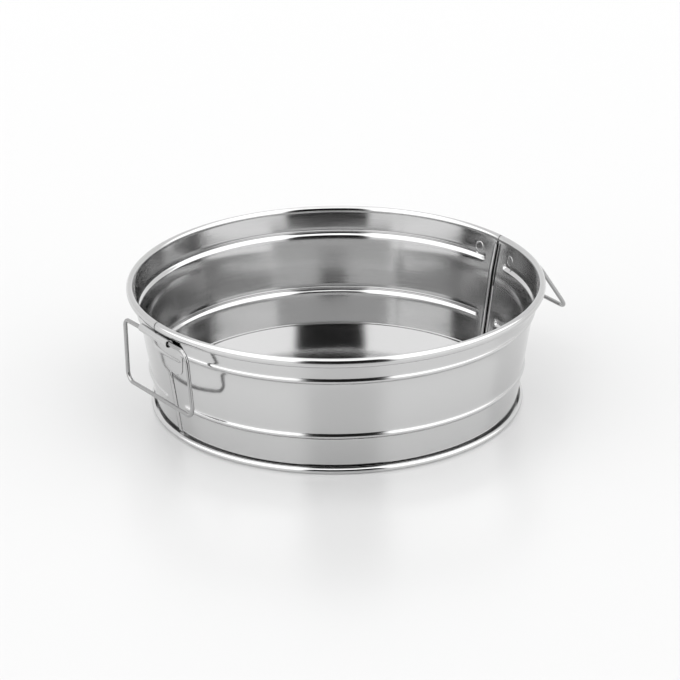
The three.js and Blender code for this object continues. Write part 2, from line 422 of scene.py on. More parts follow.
# The same sheet, stretched a little where the floor was pressed.
MIRROR_FLOOR = Steel(
    name="mirror_polished_stainless_floor",
    colour="#CBCBCB",
    roughness=0.11,
    roughness_spread=0.03,
    grain_mm=(1.5, 80, 80),
    ripple_mm=45.0,
    ripple=0.012,
)
# Bright strip for the ears, not buffed again after forming.
BRIGHT_STRIP = Steel(
    name="bright_stainless_strip",
    colour="#C7C7C7",
    roughness=0.13,
    roughness_spread=0.03,
    grain_mm=(40, 1.0, 40),
    ripple_mm=12.0,
    ripple=0.01,
)
# Wire drawn through a die, which leaves it bright with fine lines along it.
DRAWN_WIRE = Steel(
    name="bright_drawn_stainless_wire",
    colour="#A6A6A6",
    roughness=0.12,
    roughness_spread=0.03,
    grain_mm=(1.0, 25, 1.0),
    ripple_mm=4.0,
    ripple=0.004,
)
# Plain steel wire inside the rim.
CORE_WIRE = Steel(
    name="plain_core_wire",
    colour="#969696",
    roughness=0.35,
    roughness_spread=0.08,
    grain_mm=(1.0, 1.0, 20),
    ripple_mm=5.0,
    ripple=0.01,
)


# ---------- sizes, from the frame ----------


@dataclass(frozen=True)
class TubSizes:
    """The tub's driving sizes in metres: the first four are read off the frame.

    Attributes:
        rim_radius: Outside of the rolled rim.
        rim_top: Height of the rim.
        foot_radius: Outside of the base hem.
        hem_tall: Height of the base hem.
        sheet: Thickness of the sheet.
        rim_wide: The rolled rim, across.
        rim_tall: The rolled rim, up and down.
        rim_lip: Degrees round the roll where its sheet ends.
        hem_inset: Middle of the hem, out from the wall's outer face.
        hem_flat: Width of the flat that the tub stands on.
        hem_lip: Degrees round the hem where its sheet ends.
        floor_under: Height of the floor's underside.
        beads: Heights of the two beads.
        bead_wide: A bead, up and down.
        bead_proud: How far a bead stands out.
        bead_stop: Degrees each side of a seam that stay plain.
        draw_in: How far the wall is drawn in below the upper bead.
        draw_height: Height where it is drawn in most.
    """

    rim_radius: float
    rim_top: float
    foot_radius: float
    hem_tall: float
    sheet: float = 0.5 * MM
    rim_wide: float = 5.2 * MM
    rim_tall: float = 6.7 * MM
    rim_lip: float = -118.0
    hem_inset: float = 1.75 * MM
    hem_flat: float = 1.6 * MM
    hem_lip: float = 84.0
    floor_under: float = 2.0 * MM
    beads: tuple[float, float] = (28.8 * MM, 72.6 * MM)
    bead_wide: float = 5.8 * MM
    bead_proud: float = 1.3 * MM
    bead_stop: float = 4.3
    draw_in: float = 1.0 * MM
    draw_height: float = 65 * MM

    @classmethod
    def from_frame(cls) -> "TubSizes":
        """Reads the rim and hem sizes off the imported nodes.

        Returns:
            The tub's sizes.
        """
        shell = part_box("shell_front")[1]
        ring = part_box("base_pan")[1]
        rim = -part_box("shell_front")[0].x
        return cls(rim_radius=rim, rim_top=shell.z, foot_radius=ring.x, hem_tall=ring.z)

    @property
    def rim_centre(self) -> Point:
        """Middle of the rolled rim's section, as (radius, height)."""
        return self.rim_radius - self.rim_wide / 2, self.rim_top - self.rim_tall / 2

    @property
    def hem_centre(self) -> Point:
        """Middle of the base hem's section, as (radius, height)."""
        return self.foot_radius - self.hem_tall / 2, self.hem_tall / 2

    @property
    def slope(self) -> float:
        """How far the wall leans out for each metre of height.

        Returns:
            The lean, without the drawing in.
        """
        head = self.rim_radius - self.rim_wide + self.sheet
        foot = self.hem_centre[0] - self.hem_inset
        return (head - foot) / (self.rim_centre[1] - self.hem_centre[1])

    def wall(self, height: float) -> float:
        """Finds the radius of the wall's outer face at a height.

        Rolling the upper bead has drawn the sheet in a little below it, so the wall flares more
        steeply from there to the rim.

        Args:
            height: Height above the table.

        Returns:
            The radius.
        """
        low, high = self.hem_centre[1], self.rim_centre[1]
        straight = self.hem_centre[0] - self.hem_inset + (height - low) * self.slope
        if height < self.draw_height:
            dip = (height - low) / (self.draw_height - low)
        else:
            dip = (high - height) / (high - self.draw_height)
        return straight - self.draw_in * max(0.0, min(dip, 1.0))


# ---------- node tree that wraps a strip round the axis ----------


def round_the_axis() -> bpy.types.NodeTree:
    """Builds the tree that bends a strip round Z.

    A point of the strip is (angle, radius, height). The tree adds the beads, which fade out beside
    the seams, and the slight waves of thin sheet, then turns each point into its place on the tub.

    Returns:
        The tree.
    """
    tree, given = new_tree(
        "round_the_axis",
        {
            "Low Bead": "NodeSocketFloat",
            "High Bead": "NodeSocketFloat",
            "Bead Width": "NodeSocketFloat",
            "Bead Proud": "NodeSocketFloat",
            "Bead Stop": "NodeSocketFloat",
            "Bead Fade": "NodeSocketFloat",
            "Wave Height": "NodeSocketFloat",
            "Wave Length": "NodeSocketFloat",
            "Seed": "NodeSocketFloat",
            "Material": "NodeSocketMaterial",
        },
    )
    position = add_node(tree, "GeometryNodeInputPosition").outputs[0]
    strip = add_node(tree, "ShaderNodeSeparateXYZ", {0: position})
    angle, radius, height = strip.outputs
    half = maths(tree, "MULTIPLY", given["Bead Width"], 0.5)

    def bead(middle: Socket) -> Socket:
        """Adds one bead's section.

        Args:
            middle: The bead's height on the wall.

        Returns:
            How far out it stands, from 0 to 1.
        """
        away = maths(tree, "ABSOLUTE", maths(tree, "SUBTRACT", height, middle))
        share = maths(tree, "MINIMUM", maths(tree, "DIVIDE", away, half), 1.0)
        flank = maths(tree, "COSINE", maths(tree, "MULTIPLY", share, math.pi / 2))
        return maths(tree, "POWER", flank, 2.0)

    both = maths(tree, "ADD", bead(given["Low Bead"]), bead(given["High Bead"]))
    from_seam = maths(tree, "ARCSINE", maths(tree, "ABSOLUTE", maths(tree, "SINE", angle)))
    past = maths(tree, "ADD", given["Bead Stop"], given["Bead Fade"])
    rolled = fade(tree, from_seam, given["Bead Stop"], past)
    bulge = maths(tree, "MULTIPLY", maths(tree, "MULTIPLY", both, rolled), given["Bead Proud"])

    def polar(reach: Socket, up: Socket) -> Socket:
        """Places a point of the strip on the tub.

        Args:
            reach: Its radius.
            up: Its height.

        Returns:
            Its place.
        """
        east = maths(tree, "MULTIPLY", reach, maths(tree, "COSINE", angle))
        north = maths(tree, "MULTIPLY", reach, maths(tree, "SINE", angle))
        return add_node(tree, "ShaderNodeCombineXYZ", {0: east, 1: north, 2: up}).outputs[0]

    waves = add_node(
        tree,
        "ShaderNodeTexNoise",
        {
            "Vector": polar(radius, height),
            "W": given["Seed"],
            "Scale": maths(tree, "DIVIDE", 1.0, given["Wave Length"]),
            "Detail": 1.0,
        },
        noise_dimensions="4D",
    )
    wave = maths(
        tree, "MULTIPLY", maths(tree, "SUBTRACT", waves.outputs[0], 0.5), given["Wave Height"]
    )

    def sway(name: str) -> Socket:
        """Adds the wave where the sheet is free to move.

        Args:
            name: The attribute that says how free each point is.

        Returns:
            How far each point moves.
        """
        loose = add_node(tree, "GeometryNodeInputNamedAttribute", {"Name": name}, data_type="FLOAT")
        return maths(tree, "MULTIPLY", wave, loose.outputs["Attribute"])

    reach = maths(tree, "ADD", maths(tree, "ADD", radius, bulge), sway("sway_out"))
    up = maths(tree, "ADD", height, sway("sway_up"))
    wrapped = add_node(
        tree,
        "GeometryNodeSetPosition",
        {"Geometry": given["Mesh"], "Position": polar(reach, up)},
    )
    end_tree(tree, wrapped.outputs[0], given["Material"])
    return tree


def strip_rows(outline: Sequence[Point], angles: np.ndarray) -> np.ndarray:
    """Repeats a (radius, height) outline round the axis, as (angle, radius, height) points.

    Args:
        outline: The section's points.
        angles: One row of angles for each point of the outline.

    Returns:
        Array of shape (stations, outline points, 3).
    """
    return np.array([[(a, r, z) for (r, z), a in zip(outline, row)] for row in angles.T])


def add_sway(piece: bpy.types.Object, name: str, rule: Callable[[float, float], float]) -> None:
    """Stores how freely each point of a strip may wave.

    Args:
        piece: The strip.
        name: The attribute's name.
        rule: Gives 0 to 1 for a point's radius and height.
    """
    layer = piece.data.attributes.new(name, "FLOAT", "POINT")
    layer.data.foreach_set("value", [rule(v.co.y, v.co.z) for v in piece.data.vertices])


def smooth(value: float, low: float, high: float) -> float:
    """Works out a smooth step.

    Args:
        value: What is measured.
        low: Where the step is 0.
        high: Where the step is 1.

    Returns:
        The step's height.
    """
    share = min(max((value - low) / (high - low), 0.0), 1.0)
    return share * share * (3 - 2 * share)


# ---------- wall ----------


@dataclass
class Wall:
    """Both halves of the wall with beads and rolled rim, and the folded seams between them.

    Attributes:
        sizes: The tub's sizes.
        steps: Stations round one half, apart from those beside its edges.
        edge_steps: Stations beside each edge, where the beads fade out.
        gap: From the rim's middle cut to each half's rim.
        foot_deep: How far the foot's outer face goes below the hem's middle.
        rim_join: How far under the rim's middle the wall passes into the roll.
        rim_runs_on: Depths under the rim between which the wall's edge gives way to the rim's.
        wave_height: The waves of thin sheet, from lowest to highest.
        wave_length: From one wave to the next.
        wave_seed: Which waves.
        wave_foot: Heights between which the foot's stiffness fades.
        wave_head: Depths under the rim between which the rim's stiffness fades.
        bead_fade: Degrees in which a bead fades out.
        seam_edge: From the seam's middle to each half's wall.
        seam_half: Half the folded seam's width.
        seam_low: From the hem's top to the seam's lower end.
        seam_high: From the rim's middle down to its upper end.
        ridge_half: Half the width of its outside ridge.
        ridge_proud: How far the ridge stands out.
        ridge_soft: Radius of the ridge's edges.
        groove: Depth of the groove beside the ridge.
        ledge: Depth of the step behind the groove.
        fold_reach: How far the fold stands in from the wall.
        fold_lip: From the seam's middle to the edges of the fold's free lip, inside and outside.
        pieces: What has been built.
    """

    sizes: TubSizes
    steps: int = 240
    edge_steps: int = 14
    gap: float = 0.4 * MM
    foot_deep: float = 0.4 * MM
    rim_join: float = 0.8 * MM
    rim_runs_on: Point = (7.0 * MM, 5.5 * MM)
    wave_height: float = 0.42 * MM
    wave_length: float = 75 * MM
    wave_seed: float = 3.0
    wave_foot: Point = (6 * MM, 20 * MM)
    wave_head: Point = (16 * MM, 2 * MM)
    bead_fade: float = 1.3
    seam_edge: float = 3.0 * MM
    seam_half: float = 3.3 * MM
    seam_low: float = 0.2 * MM
    seam_high: float = 2.2 * MM
    ridge_half: float = 1.9 * MM
    ridge_proud: float = 0.45 * MM
    ridge_soft: float = 0.35 * MM
    groove: float = -1.05 * MM
    ledge: float = -1.25 * MM
    fold_reach: float = 2.6 * MM
    fold_lip: Point = (1.6 * MM, 2.4 * MM)
    pieces: list[bpy.types.Object] = field(default_factory=list)

    def outline(self) -> list[Point]:
        """Draws the half shell's closed section: outer face, rolled rim, inner face, foot.

        Returns:
            Its points, as (radius, height).
        """
        s = self.sizes
        hem_x, hem_z = s.hem_centre
        low = hem_z - self.foot_deep
        half = s.bead_wide / 2
        edges = [bead + side for bead in s.beads for side in (-half, half)]
        stops = [low, *edges, s.rim_centre[1] - self.rim_join]
        counts = (10, 17, 16, 17, 8)
        spans = zip(stops, stops[1:], counts)
        heights = [z for start, end, count in spans for z in np.linspace(start, end, count)[:-1]]
        heights.append(stops[-1])
        wide, tall = s.rim_wide / 2, s.rim_tall / 2
        outer = [(s.wall(z), z) for z in heights]
        inner = [(s.wall(z) - s.sheet, z) for z in reversed(heights)]
        under = arc(s.rim_centre, (wide - s.sheet, tall - s.sheet), 180, s.rim_lip, 30)
        over = arc(s.rim_centre, (wide, tall), s.rim_lip, 180, 48)
        # The foot turns out below the hem's lip, which keeps the slot between them dark.
        foot = [
            (s.wall(low) - s.sheet, hem_z - 1.0 * MM),
            (hem_x + 0.6 * MM, hem_z - 1.2 * MM),
            (hem_x + 0.8 * MM, hem_z - 0.7 * MM),
            (s.wall(low) + 0.1 * MM, hem_z - 0.5 * MM),
        ]
        return [*outer, *under, *over, *inner, *foot]

    def stations(self, height: float) -> np.ndarray:
        """Lists the angles of one half's points at a height.

        The wall stops at the folded seam, and the rolled rim runs on almost to the other half's.

        Args:
            height: Height above the table.

        Returns:
            The angles, from this half's first edge to its last.
        """
        s = self.sizes
        near = math.radians(s.bead_stop + self.bead_fade)
        wall = 1 - smooth(height, *(s.rim_top - depth for depth in self.rim_runs_on))
        edge = (self.gap + (self.seam_edge - self.gap) * wall) / s.wall(height)
        return np.concatenate(
            [
                np.linspace(edge, near, self.edge_steps)[:-1],
                np.linspace(near, math.pi - near, self.steps)[:-1],
                np.linspace(math.pi - near, math.pi - edge, self.edge_steps),
            ]
        )

    def build_half(
        self, node: str, start: float, tree: bpy.types.NodeTree, finish: bpy.types.Material
    ) -> None:
        """Makes one half shell, which stands for a CAD node.

        Args:
            node: The CAD node, whose name the piece takes.
            start: The angle where this half begins.
            tree: The tree that wraps a strip round the axis.
            finish: The sheet's material.
        """
        s = self.sizes
        outline = self.outline()
        columns = np.array([self.stations(height) for _, height in outline])
        rows = strip_rows(outline, start + columns)
        piece = mesh_object(f"{node}_skin", *closed_strip(rows))
        top = s.rim_centre[1] - s.rim_tall / 2
        free, held = (top - depth for depth in self.wave_head)
        add_sway(
            piece,
            "sway_out",
            lambda r, z: smooth(z, *self.wave_foot) * (1 - smooth(z, free, held)),
        )
        run_tree(
            piece,
            tree,
            {
                "Low Bead": s.beads[0],
                "High Bead": s.beads[1],
                "Bead Width": s.bead_wide,
                "Bead Proud": s.bead_proud,
                "Bead Stop": math.radians(s.bead_stop),
                "Bead Fade": math.radians(self.bead_fade),
                "Wave Height": self.wave_height,
                "Wave Length": self.wave_length,
                "Seed": self.wave_seed,
                "Material": finish,
            },
        )
        tidy_mesh(piece, crease=50)
        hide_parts(node)
        self.pieces.append(piece)

    def seam_section(self) -> list[Point]:
        """Draws the folded seam's section.

        Outside, a ridge stands between two grooves. Inside, the fold's free lip hangs over an open
        slot.

        Returns:
            Its points, as (out from the wall's outer face, along the wall).
        """
        sheet = self.sizes.sheet
        ridge, half, proud, soft = self.ridge_half, self.seam_half, self.ridge_proud, self.ridge_soft
        groove, ledge = self.groove, self.ledge
        inside, outside = self.fold_lip
        under = -sheet - self.fold_reach + 2 * sheet
        return [
            *arc((proud - soft, ridge - soft), (soft, soft), 0, 90, 6),
            (groove, ridge),
            (groove, half),
            (ledge, half),
            (ledge, outside),
            *arc((under, 0.5 * MM), (2 * sheet, 1.9 * MM), 90, 270, 21),
            (under, inside),
            (ledge, inside),
            (ledge, -half),
            (groove, -half),
            (groove, -ridge),
            *arc((proud - soft, -ridge + soft), (soft, soft), 270, 360, 6),
        ]

    def build_seam(self, side: Side, finish: bpy.types.Material) -> None:
        """Makes the folded strip of one seam, from the hem to just under the rim.

        Args:
            side: Which seam.
            finish: The sheet's material.
        """
        s = self.sizes
        section = self.seam_section()
        heights = np.linspace(s.hem_tall + self.seam_low, s.rim_centre[1] - self.seam_high, 24)
        rows = np.array([[(s.wall(z) + w, u, z) for w, u in section] for z in heights])
        piece = mesh_object(f"seam_{side.label}", *closed_strip(rows))
        piece.data.transform(side.turn)
        piece.data.materials.append(finish)
        tidy_mesh(piece, crease=50)
        self.pieces.append(piece)

    def dress(self) -> None:
        """Gives every piece its body."""
        for piece in self.pieces:
            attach(piece, "tub")

    def build(self, tree: bpy.types.NodeTree, finish: bpy.types.Material) -> list[bpy.types.Object]:
        """Builds and dresses both halves and both seams.

        Args:
            tree: The tree that wraps a strip round the axis.
            finish: The sheet's material.

        Returns:
            The pieces.
        """
        self.build_half("shell_back", 0.0, tree, finish)
        self.build_half("shell_front", math.pi, tree, finish)
        for side in Side:
            self.build_seam(side, finish)
        self.dress()
        return self.pieces


# ---------- base ----------


@dataclass
class Base:
    """The floor and the hem rolled round the wall's foot, one piece of sheet.

    Attributes:
        sizes: The tub's sizes.
        steps: Stations round the tub.
        rings: Points from the middle to the hem.
        wave_height: The floor's waves, from lowest to highest.
        wave_length: From one wave to the next.
        wave_seed: Which waves.
        wave_edge: How far in from the hem the floor is free to wave, and where it is held.
    """

    sizes: TubSizes
    steps: int = 360
    rings: int = 40
    wave_height: float = 1.1 * MM
    wave_length: float = 95 * MM
    wave_seed: float = 11.0
    wave_edge: Point = (45 * MM, 6 * MM)

    def outline(self) -> list[Point]:
        """Draws the pan's section from the axis, under the floor, round the hem and back over the floor.

        Returns:
            Its points, as (radius, height).
        """
        s = self.sizes
        x, z = s.hem_centre
        outer, inner = s.hem_tall / 2, s.hem_tall / 2 - s.sheet
        under = s.floor_under
        start = math.degrees(math.acos(s.hem_flat / 2 / outer))
        radii = np.linspace(0, x - outer - 0.6 * MM, self.rings)
        inside = np.linspace(x - outer - 0.1 * MM, 0, self.rings)
        return [
            *[(r, under) for r in radii],
            *arc((x, z), (outer, outer), 190, 270 - (90 - start), 6),
            *[(x - s.hem_flat / 2, 0.0), (x + s.hem_flat / 2, 0.0)],
            *arc((x, z), (outer, outer), -start, s.hem_lip, 22),
            *arc((x, z), (inner, inner), s.hem_lip, -170, 22),
            *[(r, under + s.sheet) for r in inside],
        ]

    def dress(self, piece: bpy.types.Object) -> None:
        """Gives the base its body, and lets it stand for its CAD node.

        Args:
            piece: The base.
        """
        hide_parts("base_pan")
        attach(piece, "tub")

    def build(self, tree: bpy.types.NodeTree) -> list[bpy.types.Object]:
        """Builds and dresses the base.

        Args:
            tree: The tree that wraps a strip round the axis.

        Returns:
            The piece, in a list.
        """
        s = self.sizes
        outline = self.outline()
        angles = np.linspace(0, 2 * math.pi, self.steps + 1)
        rows = strip_rows(outline, np.tile(angles, (len(outline), 1)))
        vertices, faces = closed_strip(rows, capped=False)
        ring = len(outline)
        # The outline is open at the axis, where both ends meet the pole.
        faces = [f for f in faces if not (f[0] % ring == ring - 1)]
        piece = mesh_object("base_skin", vertices, faces)
        edge = s.hem_centre[0] - s.hem_tall / 2
        free, held = (edge - reach for reach in self.wave_edge)
        add_sway(piece, "sway_up", lambda r, z: 1 - smooth(r, free, held))
        run_tree(
            piece,
            tree,
            {
                "Low Bead": -1.0,
                "High Bead": -1.0,
                "Bead Width": s.bead_wide,
                "Bead Proud": 0.0,
                "Bead Stop": 0.0,
                "Bead Fade": 1.0,
                "Wave Height": self.wave_height,
                "Wave Length": self.wave_length,
                "Seed": self.wave_seed,
                "Material": MIRROR_FLOOR.material(),
            },
        )
        tidy_mesh(piece, crease=50)
        self.dress(piece)
        return [piece]


# ---------- ears ----------


@dataclass
class Ear:
    """A sheet plate against the wall whose top is rolled into a barrel for the handle's wire.

    Attributes:
        sizes: The tub's sizes.
        pivot: The handle's axis.
        side: Which end of the X axis it is at.
        barrel: Outside radius of the barrel.
        barrel_half: Half its length.
        barrel_start: Where the barrel's roll begins, in degrees round its axis.
        barrel_turn: Degrees that it is rolled through.
        foot: Height of the plate's lowest edge.
        head: Height where the plate is widest.
        half_foot: Half the plate's width at its foot.
        half_head: Half its width at its head.
        corner: Radius of its lower corners.
        stand_off: From the wall to the plate.
        lift: From the wall to the plate's upper part, which passes over the bead.
        lifts: Heights between which it rises off the wall.
        plate: Heights of the plate's even part, between its lower corners and the barrel.
        gathers: Heights between which its width passes into the barrel's.
        straightens: Heights between which it loses most of the wall's curve.
        straightened: The share of the curve that it loses there.
        last_curve: The share that is left where the barrel's roll begins.
        tuck_edge: How far in from its side edges the plate bends in to the wall.
        tuck_ends: Heights between which it stops bending in.
        across: Points across the plate.
    """

    sizes: TubSizes
    pivot: Vector
    side: Side
    barrel: float = 2.9 * MM
    barrel_half: float = 18.5 * MM
    barrel_start: float = 188.0
    barrel_turn: float = 340.0
    foot: float = 54 * MM
    head: float = 80 * MM
    half_foot: float = 15.3 * MM
    half_head: float = 23.3 * MM
    corner: float = 5 * MM
    stand_off: float = 0.06 * MM
    lift: float = 1.5 * MM
    lifts: Point = (65 * MM, 70 * MM)
    plate: Point = (61 * MM, 79 * MM)
    gathers: Point = (76.5 * MM, 79 * MM)
    straightens: Point = (77 * MM, 79.2 * MM)
    straightened: float = 0.6
    last_curve: float = 0.25
    tuck_edge: float = 1.8 * MM
    tuck_ends: Point = (75 * MM, 78 * MM)
    across: int = 48

    def path(self) -> list[tuple[float, float, float, float, float]]:
        """Follows the middle of the sheet from the plate's foot to the end of the barrel's roll.

        Returns:
            Rows of radius, height, half width, share of the wall's curve and tuck at the side edges.
        """
        s = self.sizes
        mid = s.sheet / 2
        corner = self.corner
        rows = []
        low_part = np.linspace(self.foot, self.foot + corner, 9)
        high_part = np.linspace(*self.plate, 19)
        for z in np.concatenate([low_part, high_part]):
            out = self.stand_off + (self.lift - self.stand_off) * smooth(z, *self.lifts)
            taper = (self.half_head - self.half_foot) * (z - self.foot) / (self.head - self.foot)
            low = max(0.0, 1 - (z - self.foot) / corner)
            wide = self.half_foot + taper - corner * (1 - math.sqrt(max(0.0, 1 - low * low)))
            high = smooth(z, *self.gathers)
            wide = wide * (1 - high) + self.barrel_half * high
            tuck = out * (1 - smooth(z, *self.tuck_ends))
            curve = 1 - self.straightened * smooth(z, *self.straightens)
            rows.append((s.wall(z) + out + mid, z, wide, curve, tuck))
        radius = self.barrel - mid
        start = self.barrel_start
        for angle in np.linspace(start, start - self.barrel_turn, 60):
            turn = math.radians(angle)
            share = self.last_curve if angle == start else 0.0
            rows.append(
                (
                    self.pivot.x + radius * math.cos(turn),
                    self.pivot.z + radius * math.sin(turn),
                    self.barrel_half,
                    share,
                    0.0,
                )
            )
        return rows

    def dress(self, piece: bpy.types.Object) -> None:
        """Gives the ear its body, and lets it stand for its CAD node.

        Args:
            piece: The ear.
        """
        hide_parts(f"ear_{self.side.label}")
        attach(piece, "tub")

    def build(self, finish: bpy.types.Material) -> list[bpy.types.Object]:
        """Builds and dresses the ear.

        Args:
            finish: The strip's material.

        Returns:
            The piece, in a list.
        """
        mid = self.sizes.sheet / 2
        path = self.path()
        points = np.array([(r, z) for r, z, *_ in path])
        along = np.gradient(points, axis=0)
        along /= np.linalg.norm(along, axis=1)[:, None]
        outward = np.stack([along[:, 1], -along[:, 0]], axis=1)
        rows = []
        for (r, z, wide, share, tuck), (nx, nz) in zip(path, outward):
            spread = np.linspace(-wide, wide, self.across)
            middle = [
                (r - share * u * u / (2 * r) - tuck * smooth(abs(u), wide - self.tuck_edge, wide), u, z)
                for u in spread
            ]
            front = [(x + nx * mid, u, z + nz * mid) for x, u, z in middle]
            back = [(x - nx * mid, u, z - nz * mid) for x, u, z in reversed(middle)]
            rows.append(front + back)
        piece = mesh_object(f"ear_{self.side.label}_sheet", *closed_strip(np.array(rows)))
        piece.data.transform(self.side.turn)
        piece.data.materials.append(finish)
        tidy_mesh(piece, crease=40)
        self.dress(piece)
        return [piece]


@dataclass
class SpotWelds:
    """The ring marks that the ear's spot welds leave on the wall's inner face.

    Attributes:
        sizes: The tub's sizes.
        side: Which ear.
        places: Middle of each mark, as (along the wall from the seam, height).
        ring: Radius of a mark.
        thick: Width of its raised edge.
        proud: How far the edge stands out.
        smallest: The smallest mark's size, as a share of ring.
        largest: The largest mark's.
        seed: Which sizes the marks get.
    """

    sizes: TubSizes
    side: Side
    places: tuple[Point, ...] = ((-19 * MM, 78.5 * MM), (19 * MM, 78.5 * MM))
    ring: float = 3.4 * MM
    thick: float = 1.0 * MM
    proud: float = 0.16 * MM
    smallest: float = 0.92
    largest: float = 1.08
    seed: int = 5

    def tree(self) -> bpy.types.NodeTree:
        """Builds the tree that sets one ring on every point, turned to the face it lies on.

        Returns:
            The tree.
        """
        tree, given = new_tree(
            "weld_marks",
            {
                "Ring": "NodeSocketFloat",
                "Thickness": "NodeSocketFloat",
                "Height": "NodeSocketFloat",
                "Smallest": "NodeSocketFloat",
                "Largest": "NodeSocketFloat",
                "Seed": "NodeSocketInt",
                "Material": "NodeSocketMaterial",
            },
        )
        path = add_node(
            tree,
            "GeometryNodeCurvePrimitiveCircle",
            {"Resolution": 40, "Radius": given["Ring"]},
        )
        section = add_node(
            tree,
            "GeometryNodeCurvePrimitiveCircle",
            {"Resolution": 10, "Radius": maths(tree, "MULTIPLY", given["Thickness"], 0.5)},
        )
        torus = add_node(
            tree,
            "GeometryNodeCurveToMesh",
            {"Curve": path.outputs[0], "Profile Curve": section.outputs[0]},
        )
        twice = maths(tree, "MULTIPLY", given["Height"], 2.0)
        share = maths(tree, "DIVIDE", twice, given["Thickness"])
        flat = add_node(tree, "ShaderNodeCombineXYZ", {0: 1.0, 1: 1.0, 2: share})
        mark = add_node(
            tree,
            "GeometryNodeTransform",
            {"Geometry": torus.outputs[0], "Scale": flat.outputs[0]},
        )
        facing = add_node(
            tree,
            "GeometryNodeInputNamedAttribute",
            {"Name": "facing"},
            data_type="FLOAT_VECTOR",
        )
        turned = add_node(
            tree,
            "FunctionNodeAlignRotationToVector",
            {"Vector": facing.outputs["Attribute"]},
            axis="Z",
        )
        size = add_node(
            tree,
            "FunctionNodeRandomValue",
            {2: given["Smallest"], 3: given["Largest"], "Seed": given["Seed"]},
            data_type="FLOAT",
        )
        spread = add_node(
            tree,
            "GeometryNodeInstanceOnPoints",
            {
                "Points": given["Mesh"],
                "Instance": mark.outputs[0],
                "Rotation": turned.outputs[0],
                "Scale": size.outputs[1],
            },
        )
        end_tree(tree, spread.outputs[0], given["Material"])
        return tree

    def dress(self, piece: bpy.types.Object) -> None:
        """Gives the marks their body.

        Args:
            piece: The marks.
        """
        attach(piece, "tub")

    def build(self, finish: bpy.types.Material) -> list[bpy.types.Object]:
        """Marks the wall's inner face behind one ear.

        Args:
            finish: The wall's material.

        Returns:
            The piece, in a list.
        """
        s = self.sizes
        points, facings = [], []
        for along, height in self.places:
            turn = along / s.wall(height)
            reach = s.wall(height) - s.sheet
            points.append((reach * math.cos(turn), reach * math.sin(turn), height))
            facings += [-math.cos(turn), -math.sin(turn), s.slope]
        piece = mesh_object(f"weld_marks_{self.side.label}", points, [])
        layer = piece.data.attributes.new("facing", "FLOAT_VECTOR", "POINT")
        layer.data.foreach_set("vector", facings)
        run_tree(
            piece,
            self.tree(),
            {
                "Ring": self.ring,
                "Thickness": self.thick,
                "Height": self.proud,
                "Smallest": self.smallest,
                "Largest": self.largest,
                "Seed": self.seed,
                "Material": finish,
            },
        )
        piece.data.transform(self.side.turn)
        tidy_mesh(piece, crease=60, merge=1e-6)
        self.dress(piece)
        return [piece]


# ---------- handles ----------


def wire_along_path() -> bpy.types.NodeTree:
    """Builds the tree that turns a line of edges into round wire with closed ends.

    Returns:
        The tree.
    """
    tree, given = new_tree(
        "wire_along_path",
        {"Radius": "NodeSocketFloat", "Sides": "NodeSocketInt", "Material": "NodeSocketMaterial"},
    )
    line = add_node(tree, "GeometryNodeMeshToCurve", {"Mesh": given["Mesh"]})
    section = add_node(
        tree,
        "GeometryNodeCurvePrimitiveCircle",
        {"Resolution": given["Sides"], "Radius": given["Radius"]},
    )
    wire = add_node(
        tree,
        "GeometryNodeCurveToMesh",
        {"Curve": line.outputs[0], "Profile Curve": section.outputs[0], "Fill Caps": True},
    )
    end_tree(tree, wire.outputs[0], given["Material"])
    return tree


